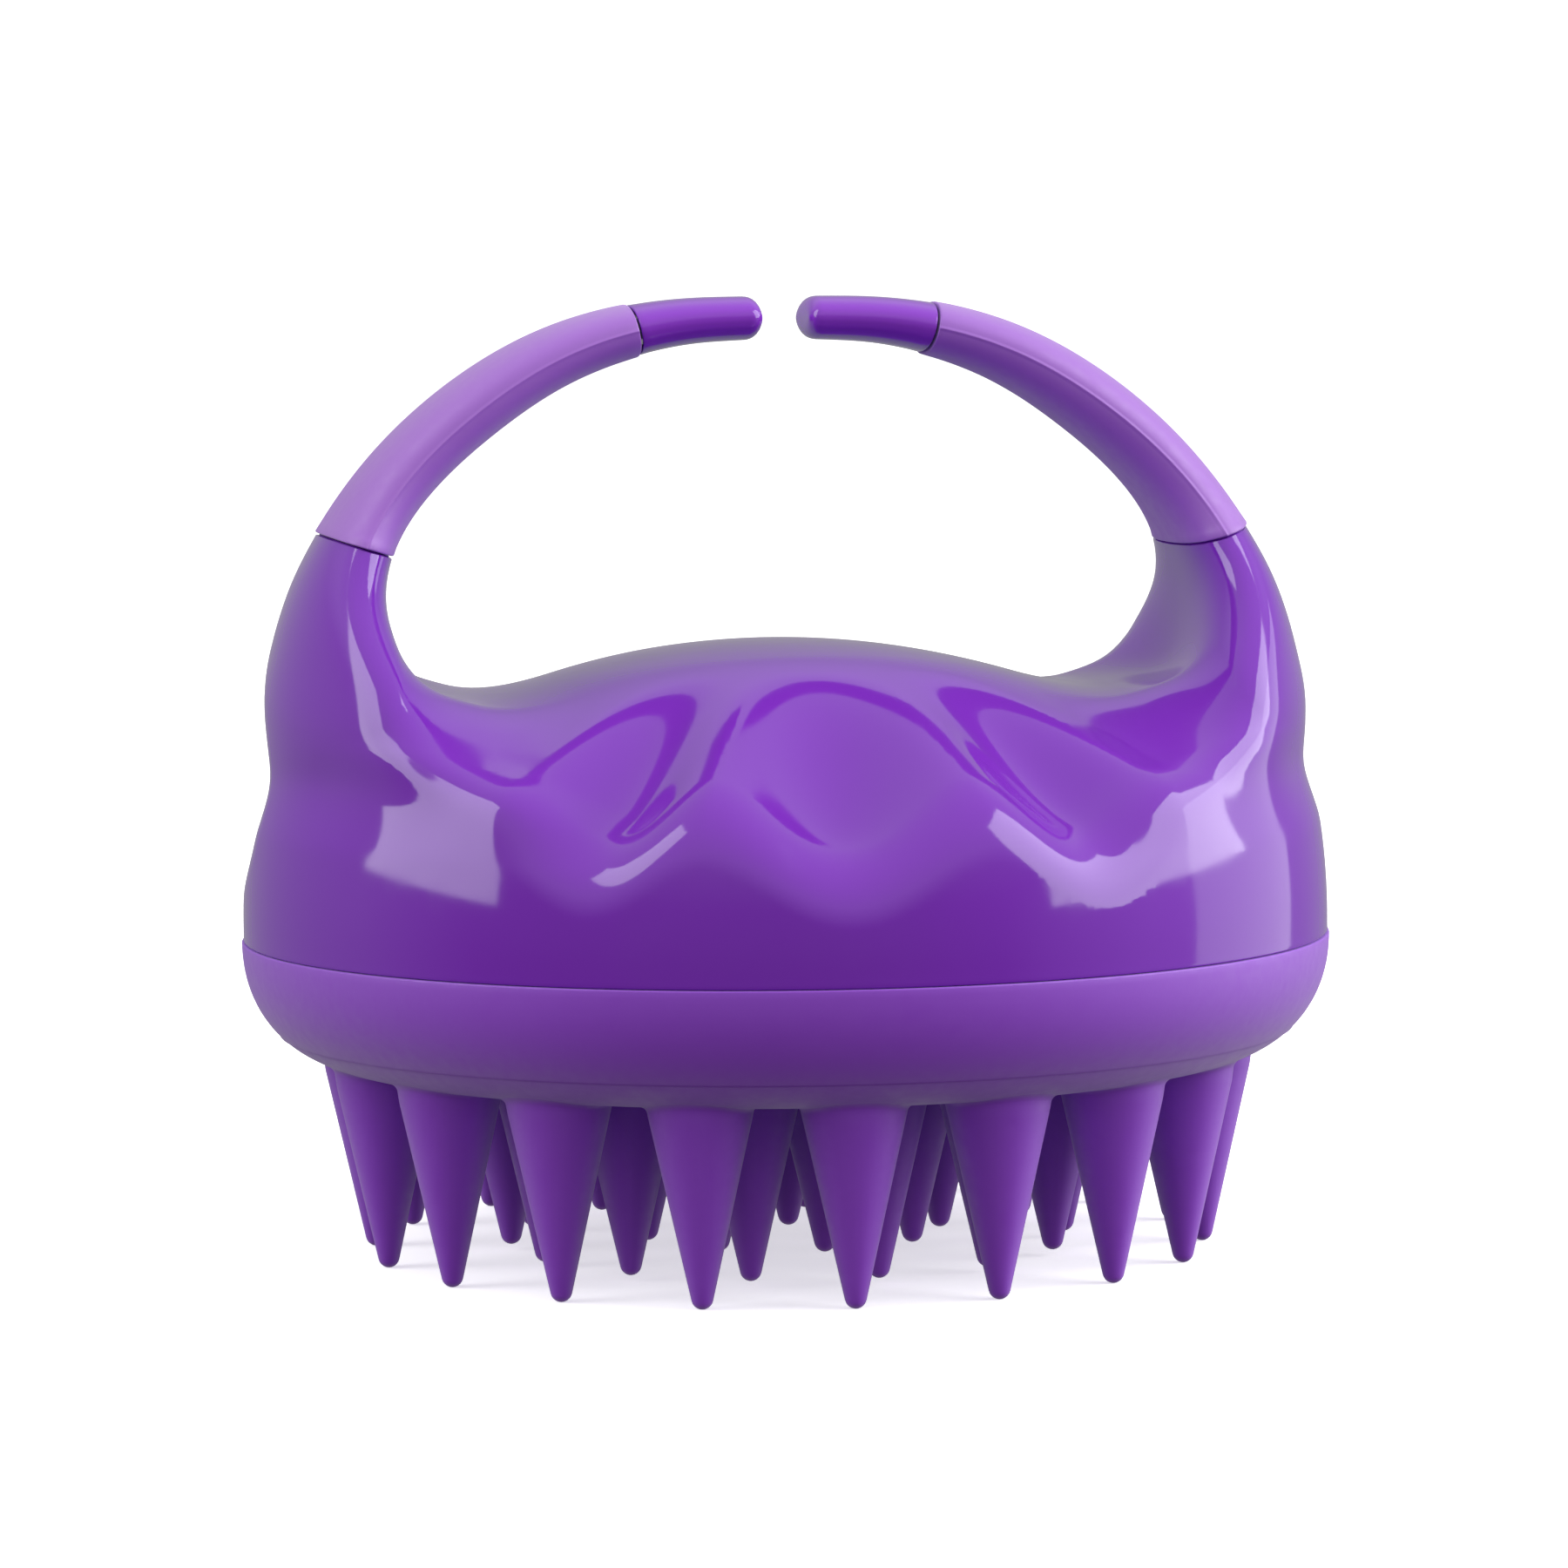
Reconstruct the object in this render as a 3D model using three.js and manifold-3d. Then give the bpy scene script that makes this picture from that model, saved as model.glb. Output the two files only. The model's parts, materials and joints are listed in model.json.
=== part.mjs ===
// Round curry comb with a ring handle. Millimetres, +Z up, resting on its tine tips at z = 0.
// X runs from arm to arm, and the ring is looked through along Y.
import * as THREE from 'three';
import { mergeVertices } from 'three/addons/utils/BufferGeometryUtils.js';
import Module from 'manifold-3d';

const wasm = await Module();
wasm.setup();

// Driving dimensions
const GAP = 0.3; // clearance between neighbouring pieces
const RIM_Z = 27.5; // parting plane between shell and pad
const BODY_R = 47.3; // widest radius, at the parting plane
const WALL = 2.4; // shell wall

// Shell dome
const SADDLE_Z = 52.95; // crest of the saddle between the arms
const SADDLE_FALL = 0.0074; // how fast the saddle falls towards the arms
const SADDLE_FLAT = 40; // beyond this distance it falls no further
const CROWN = 0.003; // how fast it falls towards front and back
const SLOPE_R = 22; // beyond this radius the top slopes down to the wall
const SLOPE = 0.42;
const CREASE_BLEND = 2.5; // softness of the crease where that slope starts
const WALL_START = 29; // the wall stands upright to this height
const WALL_CURVE = 0.013; // and then curves inward
const WALL_SIDE = 0.35; // how much less it curves in at the left and right sides
const EDGE_BLEND = 4.2; // softness of the edge between top and wall
const ARM_BLEND = 5; // fillet between dome and arms, outside the ring
const VALLEY_BLEND = 14.5; // and inside it
const VALLEY_X = [28, 42]; // the inner fillet gives way to the outer one between these distances
const VALLEY_Y = [14, 32];

// Finger hollows in the front and back slopes
const FLUTES = [
  // middle and half width in degrees, depth
  [-28.5, 12, 4],
  [-2, 15.5, 4.8],
  [25.5, 12.5, 4],
];
const FLUTE_IN = 20; // radius at which the hollows start
const FLUTE_OUT = 42; // radius at which they reach their full depth

// Thumb hollows in the side wall: half-eggs, tall upwards and short downwards
const THUMB_ANGLE = THREE.MathUtils.degToRad(98);
const THUMB_R = 54.1; // radius on which they are centred
const THUMB_Z = 41;
const THUMB_WIDE = 17;
const THUMB_IN = 10;
const THUMB_UP = 15;
const THUMB_DOWN = 10;
const THUMB_BLEND = 2; // softness of their edges

// Arm: centre line and half sizes from inside the dome to the free end
const ARM_STATIONS = [
  // x, z, half thickness, half width, bow: how fast the section turns inward towards its edges
  [35, 38, 5, 30, 0.0095],
  [39.5, 44.5, 5.4, 27, 0.0085],
  [39.8, 51, 5, 22.5, 0.008],
  [39, 57.5, 3.75, 15.4, 0.005],
  [37.3, 61.8, 3.1, 11.6, 0.0028],
  [33.2, 67.7, 2.8, 9, 0.002],
  [27, 73.3, 2.75, 8, 0.0015],
  [19.9, 77.6, 2.5, 7, 0.001],
  [12.9, 79.9, 2.2, 6, 0],
  [8, 80.65, 2, 5.4, 0],
  [3.5, 80.85, 1.9, 5, 0],
];
const SECTION_POWER = 2.25; // 2 is an ellipse, more is fuller
const ROOT_JOINT = 4; // station at which the sleeve starts
const TIP_JOINT = 8; // station at which the end cap starts
const JOINT_TILT = THREE.MathUtils.degToRad(10); // the root joint lies this much flatter than square
const COLUMN_FLOOR = 42; // the arm's foot fades out below this height
const FLOOR_BLEND = 4;
const COLUMN_TOP = 67; // and is cut off above this one
const NOSE_LENGTH = 1.5; // the blunt nose at each tip
const NOSE_POWER = 2.8;
const CORE_THICK = 0.8; // half sizes of the strip inside the arm
const CORE_WIDE = 3.4;
const TONGUE = 5; // how far the strip reaches into the shell
const SOCKET_PLAY = 1.2; // room in the socket for the strip to swing

// Pad and tines
const PAD_FLOOR_Z = 16.8;
const PAD_SOFT = 2.6; // thickness of floor and skirt
const PAD_CORNER_R = 37; // where the flat underside ends
const PAD_CORNER_POWER = 2.15;
const TINE_BASE_R = 4.5;
const TINE_TIP_R = 1.05;
const TINE_FLAT_R = 0.6;
const TINE_RINGS = [
  // radius, count, first angle in steps, height of the tip
  [36.2, 18, 0, 0],
  [24.3, 14, 0.37, 0.5],
  [13.3, 9, 0.12, 1.2],
  [0, 1, 0, 1.6],
];

// Carrier plate, posts and screws
const PLATE_R = PAD_CORNER_R + 6.9;
const PLATE_Z = PAD_FLOOR_Z + PAD_SOFT + GAP;
const PLATE_THICK = 2.5;
const BOSS_SPOT = 23;
const BOSS_R = 3.6;
const BOSS_Z = 29.6;
const PILOT_DEPTH = 9;
const PILOT_R = 1.35;
const SCREW_R = 1.05;
const HEAD_R = 2.5;
const HEAD_H = 1.7;
const HEAD_Z = 22.2;

// Half sizes and length of the block that cuts an arm across
const CUT_THICK = 14;
const CUT_WIDE = 32;
const CUT_LENGTH = 40;

// Finishes
const GLOSSY = { color: 0x7b3fb5, roughness: 0.12, metalness: 0 };
const SOFT = { color: 0x8247bd, roughness: 0.55, metalness: 0 };
const INNER = { color: 0xd8d6dc, roughness: 0.4, metalness: 0 };
const STEEL = { color: 0xb9bcc0, roughness: 0.3, metalness: 1 };

// ---------- solids ----------

function solid(geometry) {
  const bare = new THREE.BufferGeometry();
  bare.setAttribute('position', geometry.getAttribute('position').clone());
  if (geometry.index) bare.setIndex(geometry.index.clone());
  const merged = mergeVertices(bare, 1e-4);
  const kept = [];
  const index = merged.index.array;
  for (let i = 0; i < index.length; i += 3) {
    const [a, b, c] = index.slice(i, i + 3);
    if (a !== b && b !== c && c !== a) kept.push(a, b, c);
  }
  return new wasm.Manifold(new wasm.Mesh({
    numProp: 3,
    vertProperties: new Float32Array(merged.getAttribute('position').array),
    triVerts: new Uint32Array(kept),
  }));
}

function box(x0, y0, z0, x1, y1, z1) {
  const shape = new THREE.BoxGeometry(x1 - x0, y1 - y0, z1 - z0);
  return solid(shape.translate((x0 + x1) / 2, (y0 + y1) / 2, (z0 + z1) / 2));
}

// A turned solid: profile points are [radius, height], from the axis back to the axis.
function turned(profile, sides, x = 0, y = 0) {
  const points = profile.map(([r, z]) => new THREE.Vector2(r, z));
  const shape = new THREE.LatheGeometry(points, sides);
  shape.rotateX(Math.PI / 2);
  return solid(shape.translate(x, y, 0));
}

function rod(radius, z0, z1, x, y, sides = 20) {
  return turned([[0, z0], [radius, z0], [radius, z1], [0, z1]], sides, x, y);
}

function mesh(name, body, finish) {
  const { vertProperties, triVerts, numProp } = body.getMesh();
  const position = new Float32Array((vertProperties.length / numProp) * 3);
  for (let i = 0; i < position.length / 3; i++) {
    for (let k = 0; k < 3; k++) position[i * 3 + k] = vertProperties[i * numProp + k];
  }
  const shape = new THREE.BufferGeometry();
  shape.setAttribute('position', new THREE.BufferAttribute(position, 3));
  shape.setIndex(new THREE.BufferAttribute(new Uint32Array(triVerts), 1));
  shape.computeVertexNormals();
  const made = new THREE.Mesh(shape, new THREE.MeshStandardMaterial(finish));
  made.name = name;
  return made;
}

// ---------- the arm's centre line ----------

const armLine = new THREE.CatmullRomCurve3(
  ARM_STATIONS.map(([x, z]) => new THREE.Vector3(x, 0, z)),
);
const armSizes = new THREE.CatmullRomCurve3(
  ARM_STATIONS.map(([, , thick, wide, bow]) => new THREE.Vector3(thick, wide, bow)),
);
const stationAt = (i) => i / (ARM_STATIONS.length - 1);

// The cross-section plane at t: centre, outward normal and travel direction, in the XZ plane.
function armFrame(t) {
  const at = armLine.getPoint(t);
  const along = armLine.getTangent(t);
  const out = new THREE.Vector3(along.z, 0, -along.x);
  const size = armSizes.getPoint(t);
  return { at, along, out, thick: size.x, wide: size.y, bow: size.z };
}

// As armFrame, turned within the XZ plane.
function tiltedFrame(t, tilt) {
  const frame = armFrame(t);
  const along = frame.along.clone().multiplyScalar(Math.cos(tilt)).addScaledVector(frame.out, Math.sin(tilt));
  return { ...frame, along, out: new THREE.Vector3(along.z, 0, -along.x) };
}

const bowShift = (bow, y, wide) => (bow * y * y) / Math.cbrt(1 + (y / wide) ** 6);

// Lofts closed rings of points into a solid with flat ends. Each ring runs the same way round.
function loft(rings) {
  const n = rings[0].length;
  const points = rings.flat();
  const faces = [];
  for (let i = 0; i + 1 < rings.length; i++) {
    for (let j = 0; j < n; j++) {
      const a = i * n + j;
      const b = i * n + ((j + 1) % n);
      faces.push(a, b + n, b, a, a + n, b + n);
    }
  }
  const last = (rings.length - 1) * n;
  for (let j = 1; j + 1 < n; j++) {
    faces.push(0, j, j + 1, last, last + j + 1, last + j);
  }
  const shape = new THREE.BufferGeometry().setFromPoints(points);
  shape.setIndex(faces);
  return solid(shape);
}

const fuller = (wave) => Math.sign(wave) * Math.abs(wave) ** (2 / SECTION_POWER);

function armRing(frame, thick, wide, sides) {
  const ring = [];
  for (let j = 0; j < sides; j++) {
    const turn = (j / sides) * Math.PI * 2;
    const y = wide * fuller(Math.sin(turn));
    const off = -thick * fuller(Math.cos(turn)) - bowShift(frame.bow, y, frame.wide);
    const point = frame.at.clone().addScaledVector(frame.out, off);
    point.y += y;
    ring.push(point);
  }
  return ring;
}

function slabRing(frame, inner, outer, wide) {
  const corner = (side, y) => {
    const point = frame.at.clone().addScaledVector(frame.out, side);
    point.y += y;
    return point;
  };
  return [corner(-inner, -wide), corner(-inner, wide), corner(outer, wide), corner(outer, -wide)];
}

function steps(from, to, count) {
  return Array.from({ length: count + 1 }, (_, i) => from + ((to - from) * i) / count);
}

// ---------- the shell as a field: negative inside, positive outside, roughly in mm ----------

const armSamples = steps(0, stationAt(ROOT_JOINT + 2), 60).map(armFrame);

function smoothMin(a, b, k) {
  const h = Math.min(1, Math.max(0, 0.5 + (0.5 * (b - a)) / k));
  return b + (a - b) * h - k * h * (1 - h);
}
const smoothMax = (a, b, k) => -smoothMin(-a, -b, k);

// Side is 1 for a point at the far left or right and 0 for one at the front or back.
function wallRadius(z, side) {
  const lean = WALL_CURVE * Math.max(0, z - WALL_START) ** 2;
  return BODY_R - lean * (1 - WALL_SIDE * side);
}

function scoop(x, y, z, angle) {
  const across = x * Math.cos(angle) + y * Math.sin(angle);
  const outward = x * Math.sin(angle) - y * Math.cos(angle) - THUMB_R;
  const tall = z > THUMB_Z ? THUMB_UP : THUMB_DOWN;
  const reach = Math.hypot(across / THUMB_WIDE, outward / THUMB_IN, (z - THUMB_Z) / tall);
  return (reach - 1) * THUMB_DOWN;
}

// How far the finger hollows sink the sloping front and back faces.
function fluting(x, y, r) {
  const turn = THREE.MathUtils.radToDeg(Math.atan2(x, Math.abs(y)));
  let depth = 0;
  for (const [middle, half, deep] of FLUTES) {
    const off = THREE.MathUtils.clamp((turn - middle) / half, -1, 1);
    depth += deep * Math.cos((off * Math.PI) / 2) ** 2;
  }
  return depth * THREE.MathUtils.smoothstep(r, FLUTE_IN, FLUTE_OUT);
}

function domeField(x, y, z) {
  const r = Math.max(1, Math.hypot(x, y));
  const side = (x / r) ** 4;
  const saddle = SADDLE_Z - bowShift(SADDLE_FALL, x, SADDLE_FLAT) - CROWN * y * y;
  const cone = SADDLE_Z - CROWN * SLOPE_R ** 2 - SLOPE * (r - SLOPE_R);
  const top = smoothMin(saddle, cone, CREASE_BLEND) - fluting(x, y, r);
  return smoothMax(r - wallRadius(z, side), z - top, EDGE_BLEND);
}

// The foot of each arm: an upright column whose section changes with height.
function armField(x, y, z) {
  const above = armSamples.findIndex(({ at }) => at.z > z);
  const i = above < 0 ? armSamples.length - 1 : Math.max(1, above);
  const [low, high] = [armSamples[i - 1], armSamples[i]];
  const share = THREE.MathUtils.clamp((z - low.at.z) / (high.at.z - low.at.z), 0, 1);
  const mix = (name) => THREE.MathUtils.lerp(low[name], high[name], share);
  const [thick, wide] = [mix('thick'), mix('wide')];
  const middle = THREE.MathUtils.lerp(low.at.x, high.at.x, share);
  const lean = (high.at.x - low.at.x) / (high.at.z - low.at.z);
  const off = (Math.abs(x) - middle) / Math.hypot(1, lean) + bowShift(mix('bow'), y, wide);
  const reach = Math.abs(off / thick) ** SECTION_POWER + Math.abs(y / wide) ** SECTION_POWER;
  const value = Math.max((reach ** (1 / SECTION_POWER) - 1) * thick, z - COLUMN_TOP);
  return smoothMax(value, COLUMN_FLOOR - z, FLOOR_BLEND);
}

function scooped(value, x, y, z) {
  const sides = [-THUMB_ANGLE, THUMB_ANGLE];
  return sides.reduce((left, angle) => smoothMax(left, -scoop(x, y, z, angle), THUMB_BLEND), value);
}

// Goes smoothly from one at the start of a range to nothing at its end.
const ease = (value, [start, end]) => 1 - THREE.MathUtils.smoothstep(Math.abs(value), start, end);

function shellField(x, y, z) {
  const soft = ARM_BLEND + (VALLEY_BLEND - ARM_BLEND) * ease(x, VALLEY_X) * ease(y, VALLEY_Y);
  return scooped(smoothMin(domeField(x, y, z), armField(x, y, z), soft), x, y, z);
}

// Moves a point onto the zero surface of a field, by at most a set distance.
function settle(point, field, most) {
  const start = point.clone();
  const h = 0.05;
  for (let round = 0; round < 4; round++) {
    const { x, y, z } = point;
    const here = field(x, y, z);
    const slope = new THREE.Vector3(
      field(x + h, y, z) - field(x - h, y, z),
      field(x, y + h, z) - field(x, y - h, z),
      field(x, y, z + h) - field(x, y, z - h),
    ).divideScalar(2 * h);
    point.addScaledVector(slope, -here / Math.max(slope.lengthSq(), 0.05));
    point.sub(start).clampLength(0, most).add(start);
  }
}

// Wraps the zero surface of a field in a closed net of quads, one point per crossed cell.
function wrapField(field, low, high, step) {
  const n = [0, 1, 2].map((k) => Math.ceil((high[k] - low[k]) / step) + 1);
  const spot = (i, k) => low[k] + i * step;
  const id = (i, j, k) => i + n[0] * (j + n[1] * k);
  const value = new Float64Array(n[0] * n[1] * n[2]);
  for (let k = 0; k < n[2]; k++) {
    for (let j = 0; j < n[1]; j++) {
      for (let i = 0; i < n[0]; i++) value[id(i, j, k)] = field(spot(i, 0), spot(j, 1), spot(k, 2));
    }
  }
  const corners = [[0, 0, 0], [1, 0, 0], [0, 1, 0], [1, 1, 0], [0, 0, 1], [1, 0, 1], [0, 1, 1], [1, 1, 1]];
  const edges = [];
  for (let a = 0; a < 8; a++) {
    for (const bit of [1, 2, 4]) if (!(a & bit)) edges.push([a, a | bit]);
  }
  const points = [];
  const pointOf = new Int32Array(value.length).fill(-1);
  for (let k = 0; k + 1 < n[2]; k++) {
    for (let j = 0; j + 1 < n[1]; j++) {
      for (let i = 0; i + 1 < n[0]; i++) {
        const sum = new THREE.Vector3();
        let hits = 0;
        for (const [a, b] of edges) {
          const [ca, cb] = [corners[a], corners[b]];
          const va = value[id(i + ca[0], j + ca[1], k + ca[2])];
          const vb = value[id(i + cb[0], j + cb[1], k + cb[2])];
          if (va < 0 === vb < 0) continue;
          const t = va / (va - vb);
          sum.x += ca[0] + (cb[0] - ca[0]) * t;
          sum.y += ca[1] + (cb[1] - ca[1]) * t;
          sum.z += ca[2] + (cb[2] - ca[2]) * t;
          hits++;
        }
        if (!hits) continue;
        sum.divideScalar(hits);
        pointOf[id(i, j, k)] = points.length;
        points.push(new THREE.Vector3(spot(i + sum.x, 0), spot(j + sum.y, 1), spot(k + sum.z, 2)));
      }
    }
  }
  const faces = [];
  const unit = [[1, 0, 0], [0, 1, 0], [0, 0, 1]];
  for (let k = 1; k + 1 < n[2]; k++) {
    for (let j = 1; j + 1 < n[1]; j++) {
      for (let i = 1; i + 1 < n[0]; i++) {
        const here = value[id(i, j, k)] < 0;
        for (let axis = 0; axis < 3; axis++) {
          const [dx, dy, dz] = unit[axis];
          if (here === value[id(i + dx, j + dy, k + dz)] < 0) continue;
          const u = unit[(axis + 1) % 3];
          const v = unit[(axis + 2) % 3];
          const cell = (s, t) => pointOf[id(i - u[0] * s - v[0] * t, j - u[1] * s - v[1] * t,
            k - u[2] * s - v[2] * t)];
          const quad = [cell(0, 0), cell(1, 0), cell(1, 1), cell(0, 1)];
          if (!here) quad.reverse();
          faces.push(quad[0], quad[1], quad[2], quad[0], quad[2], quad[3]);
        }
      }
    }
  }
  for (const point of points) settle(point, field, step * 0.6);
  const shape = new THREE.BufferGeometry().setFromPoints(points);
  shape.setIndex(faces);
  return solid(shape);
}

// ---------- pieces ----------

// Everything on the far side of a cut across the arm, moved along the arm by a distance.
function armCut(station, distance, forward) {
  const frame = tiltedFrame(stationAt(station), station === ROOT_JOINT ? JOINT_TILT : 0);
  const start = shiftAlong(frame, distance);
  const end = shiftAlong(start, forward ? CUT_LENGTH : -CUT_LENGTH);
  const rings = [start, end].map((f) => slabRing(f, CUT_THICK, CUT_THICK, CUT_WIDE));
  if (!forward) rings.reverse();
  return loft(rings);
}

function shiftAlong(frame, distance) {
  return { ...frame, at: frame.at.clone().addScaledVector(frame.along, distance) };
}

const mirrored = (body) => body.mirror([1, 0, 0]);

function socket() {
  const frame = armFrame(stationAt(ROOT_JOINT));
  const inner = CORE_THICK + SOCKET_PLAY;
  const outer = CORE_THICK + GAP;
  const rings = [-TONGUE - 0.8, 2].map((d) => {
    return slabRing(shiftAlong(frame, d), inner, outer, CORE_WIDE + GAP);
  });
  return loft(rings);
}

function bossSpots() {
  const spots = [];
  for (const x of [-BOSS_SPOT, BOSS_SPOT]) {
    for (const y of [-BOSS_SPOT, BOSS_SPOT]) spots.push([x, y]);
  }
  return spots;
}

function gripShell() {
  const closedBelow = (field, floor) => (x, y, z) => Math.max(field(x, y, z), floor - z);
  const inside = (x, y, z) => scooped(domeField(x, y, z), x, y, z) + WALL;
  const skin = wrapField(closedBelow(shellField, RIM_Z - 3), [-52, -52, 20], [52, 52, 72], 3.1);
  const hollow = wrapField(closedBelow(inside, RIM_Z - 7), [-52, -52, 15], [52, 52, 56], 4.3);
  let body = skin.subtract(hollow);
  for (const [x, y] of bossSpots()) {
    body = body.add(rod(BOSS_R, BOSS_Z, SADDLE_Z, x, y).intersect(skin));
    body = body.subtract(rod(PILOT_R, BOSS_Z - 1, BOSS_Z + PILOT_DEPTH, x, y, 12));
  }
  body = body.subtract(box(-60, -60, 0, 60, 60, RIM_Z + GAP / 2));
  const past = armCut(ROOT_JOINT, -GAP / 2, true);
  const pocket = socket();
  for (const tool of [past, mirrored(past), pocket, mirrored(pocket)]) body = body.subtract(tool);
  return body;
}

function armRun(from, to, count, sides) {
  const rings = steps(from, to, count).map((t) => {
    const frame = armFrame(t);
    return armRing(frame, frame.thick, frame.wide, sides);
  });
  return loft(rings);
}

function coreRun(from, to, count, spare) {
  const rings = steps(from, to, count).map((t) => {
    return slabRing(armFrame(t), CORE_THICK + spare, CORE_THICK + spare, CORE_WIDE + spare);
  });
  return loft(rings);
}

const HALF_STATION = stationAt(0.5);
const CORE_END = stationAt(TIP_JOINT + 0.55);

function armSleeve() {
  const low = stationAt(ROOT_JOINT);
  const high = stationAt(TIP_JOINT);
  const run = armRun(low - HALF_STATION, high + HALF_STATION, 20, 18);
  const channel = coreRun(low - HALF_STATION, high + HALF_STATION, 12, GAP);
  const cuts = [armCut(ROOT_JOINT, GAP / 2, false), armCut(TIP_JOINT, -GAP / 2, true), channel];
  return cuts.reduce((body, tool) => body.subtract(tool), run);
}

function armTip() {
  const joint = stationAt(TIP_JOINT);
  const rings = steps(joint - HALF_STATION / 2, 1, 8).map((t) => {
    const frame = armFrame(t);
    return armRing(frame, frame.thick, frame.wide, 18);
  });
  const end = armFrame(1);
  for (const turn of [20, 42, 65, 86]) {
    const angle = THREE.MathUtils.degToRad(turn);
    const frame = shiftAlong(end, NOSE_LENGTH * Math.sin(angle) ** (2 / NOSE_POWER));
    const inset = end.thick * (1 - Math.cos(angle) ** (2 / NOSE_POWER));
    rings.push(armRing(frame, end.thick - inset, end.wide - inset, 18));
  }
  const pocket = coreRun(joint - HALF_STATION, CORE_END + HALF_STATION / 8, 3, GAP);
  return loft(rings).subtract(armCut(TIP_JOINT, GAP / 2, false)).subtract(pocket);
}

function armCore() {
  const low = stationAt(ROOT_JOINT);
  const frame = armFrame(low);
  const slab = (f) => slabRing(f, CORE_THICK, CORE_THICK, CORE_WIDE);
  const tongue = [slab(shiftAlong(frame, -TONGUE)), slab(shiftAlong(frame, -TONGUE / 2))];
  const strip = steps(low, CORE_END, 14).map((t) => slab(armFrame(t)));
  return loft([...tongue, ...strip]);
}

function padCorner(count) {
  const wide = BODY_R - PAD_CORNER_R;
  const tall = RIM_Z - PAD_FLOOR_Z;
  return steps(0, Math.PI / 2, count).map((turn) => [
    PAD_CORNER_R + wide * Math.sin(turn) ** (2 / PAD_CORNER_POWER),
    RIM_Z - tall * Math.cos(turn) ** (2 / PAD_CORNER_POWER),
  ]);
}

function tine(x, y, tip) {
  return turned([
    [0, tip], [TINE_FLAT_R, tip], [TINE_TIP_R, tip + 0.8], [TINE_BASE_R, PAD_FLOOR_Z + 0.2],
    [TINE_BASE_R, PAD_FLOOR_Z + 1], [0, PAD_FLOOR_Z + 1],
  ], 9, x, y);
}

function tinePad() {
  const pocketR = PLATE_R + GAP;
  const top = RIM_Z - GAP / 2;
  const outside = padCorner(7);
  outside[outside.length - 1][1] = top;
  const inside = [[pocketR, top], [pocketR, PAD_FLOOR_Z + PAD_SOFT], [0, PAD_FLOOR_Z + PAD_SOFT]];
  let pad = turned([[0, PAD_FLOOR_Z], ...outside, ...inside], 60);
  for (const [radius, count, first, tip] of TINE_RINGS) {
    for (let i = 0; i < count; i++) {
      const angle = ((i + first) / count) * Math.PI * 2;
      pad = pad.add(tine(radius * Math.sin(angle), -radius * Math.cos(angle), tip));
    }
  }
  return pad;
}

function carrierPlate() {
  const top = PLATE_Z + PLATE_THICK;
  const lip = RIM_Z - 0.4;
  let plate = turned([
    [0, PLATE_Z], [PLATE_R, PLATE_Z], [PLATE_R, lip], [PLATE_R - 2, lip], [PLATE_R - 2, top], [0, top],
  ], 60);
  for (const [x, y] of bossSpots()) {
    plate = plate.add(rod(BOSS_R, top - 1, BOSS_Z - GAP, x, y));
    plate = plate.subtract(rod(HEAD_R + GAP, PLATE_Z - 1, HEAD_Z + HEAD_H + GAP, x, y));
    plate = plate.subtract(rod(SCREW_R + GAP, PLATE_Z, BOSS_Z + 1, x, y, 12));
  }
  return plate;
}

function plateScrew(x, y) {
  const neck = HEAD_Z + HEAD_H;
  const end = BOSS_Z + PILOT_DEPTH - 1;
  const profile = [[0, HEAD_Z], [HEAD_R, HEAD_Z], [HEAD_R, neck], [SCREW_R, neck]];
  return turned([...profile, [SCREW_R, end - 1], [0, end]], 12, x, y);
}

// ---------- assembly ----------

const curryComb = new THREE.Group();
curryComb.add(mesh('grip_shell', gripShell(), GLOSSY));
curryComb.add(mesh('tine_pad', tinePad(), SOFT));
curryComb.add(mesh('carrier_plate', carrierPlate(), INNER));
bossSpots().forEach(([x, y], i) => {
  curryComb.add(mesh(`plate_screw_${i + 1}`, plateScrew(x, y), STEEL));
});
const armPieces = [['core', armCore(), INNER], ['sleeve', armSleeve(), SOFT], ['tip', armTip(), GLOSSY]];
for (const [name, body, finish] of armPieces) {
  curryComb.add(mesh(`right_arm_${name}`, body, finish));
  curryComb.add(mesh(`left_arm_${name}`, mirrored(body), finish));
}

export default curryComb;
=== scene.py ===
import json
import math

import bmesh
import bpy
import numpy as np
from mathutils import Matrix, Vector


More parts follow.
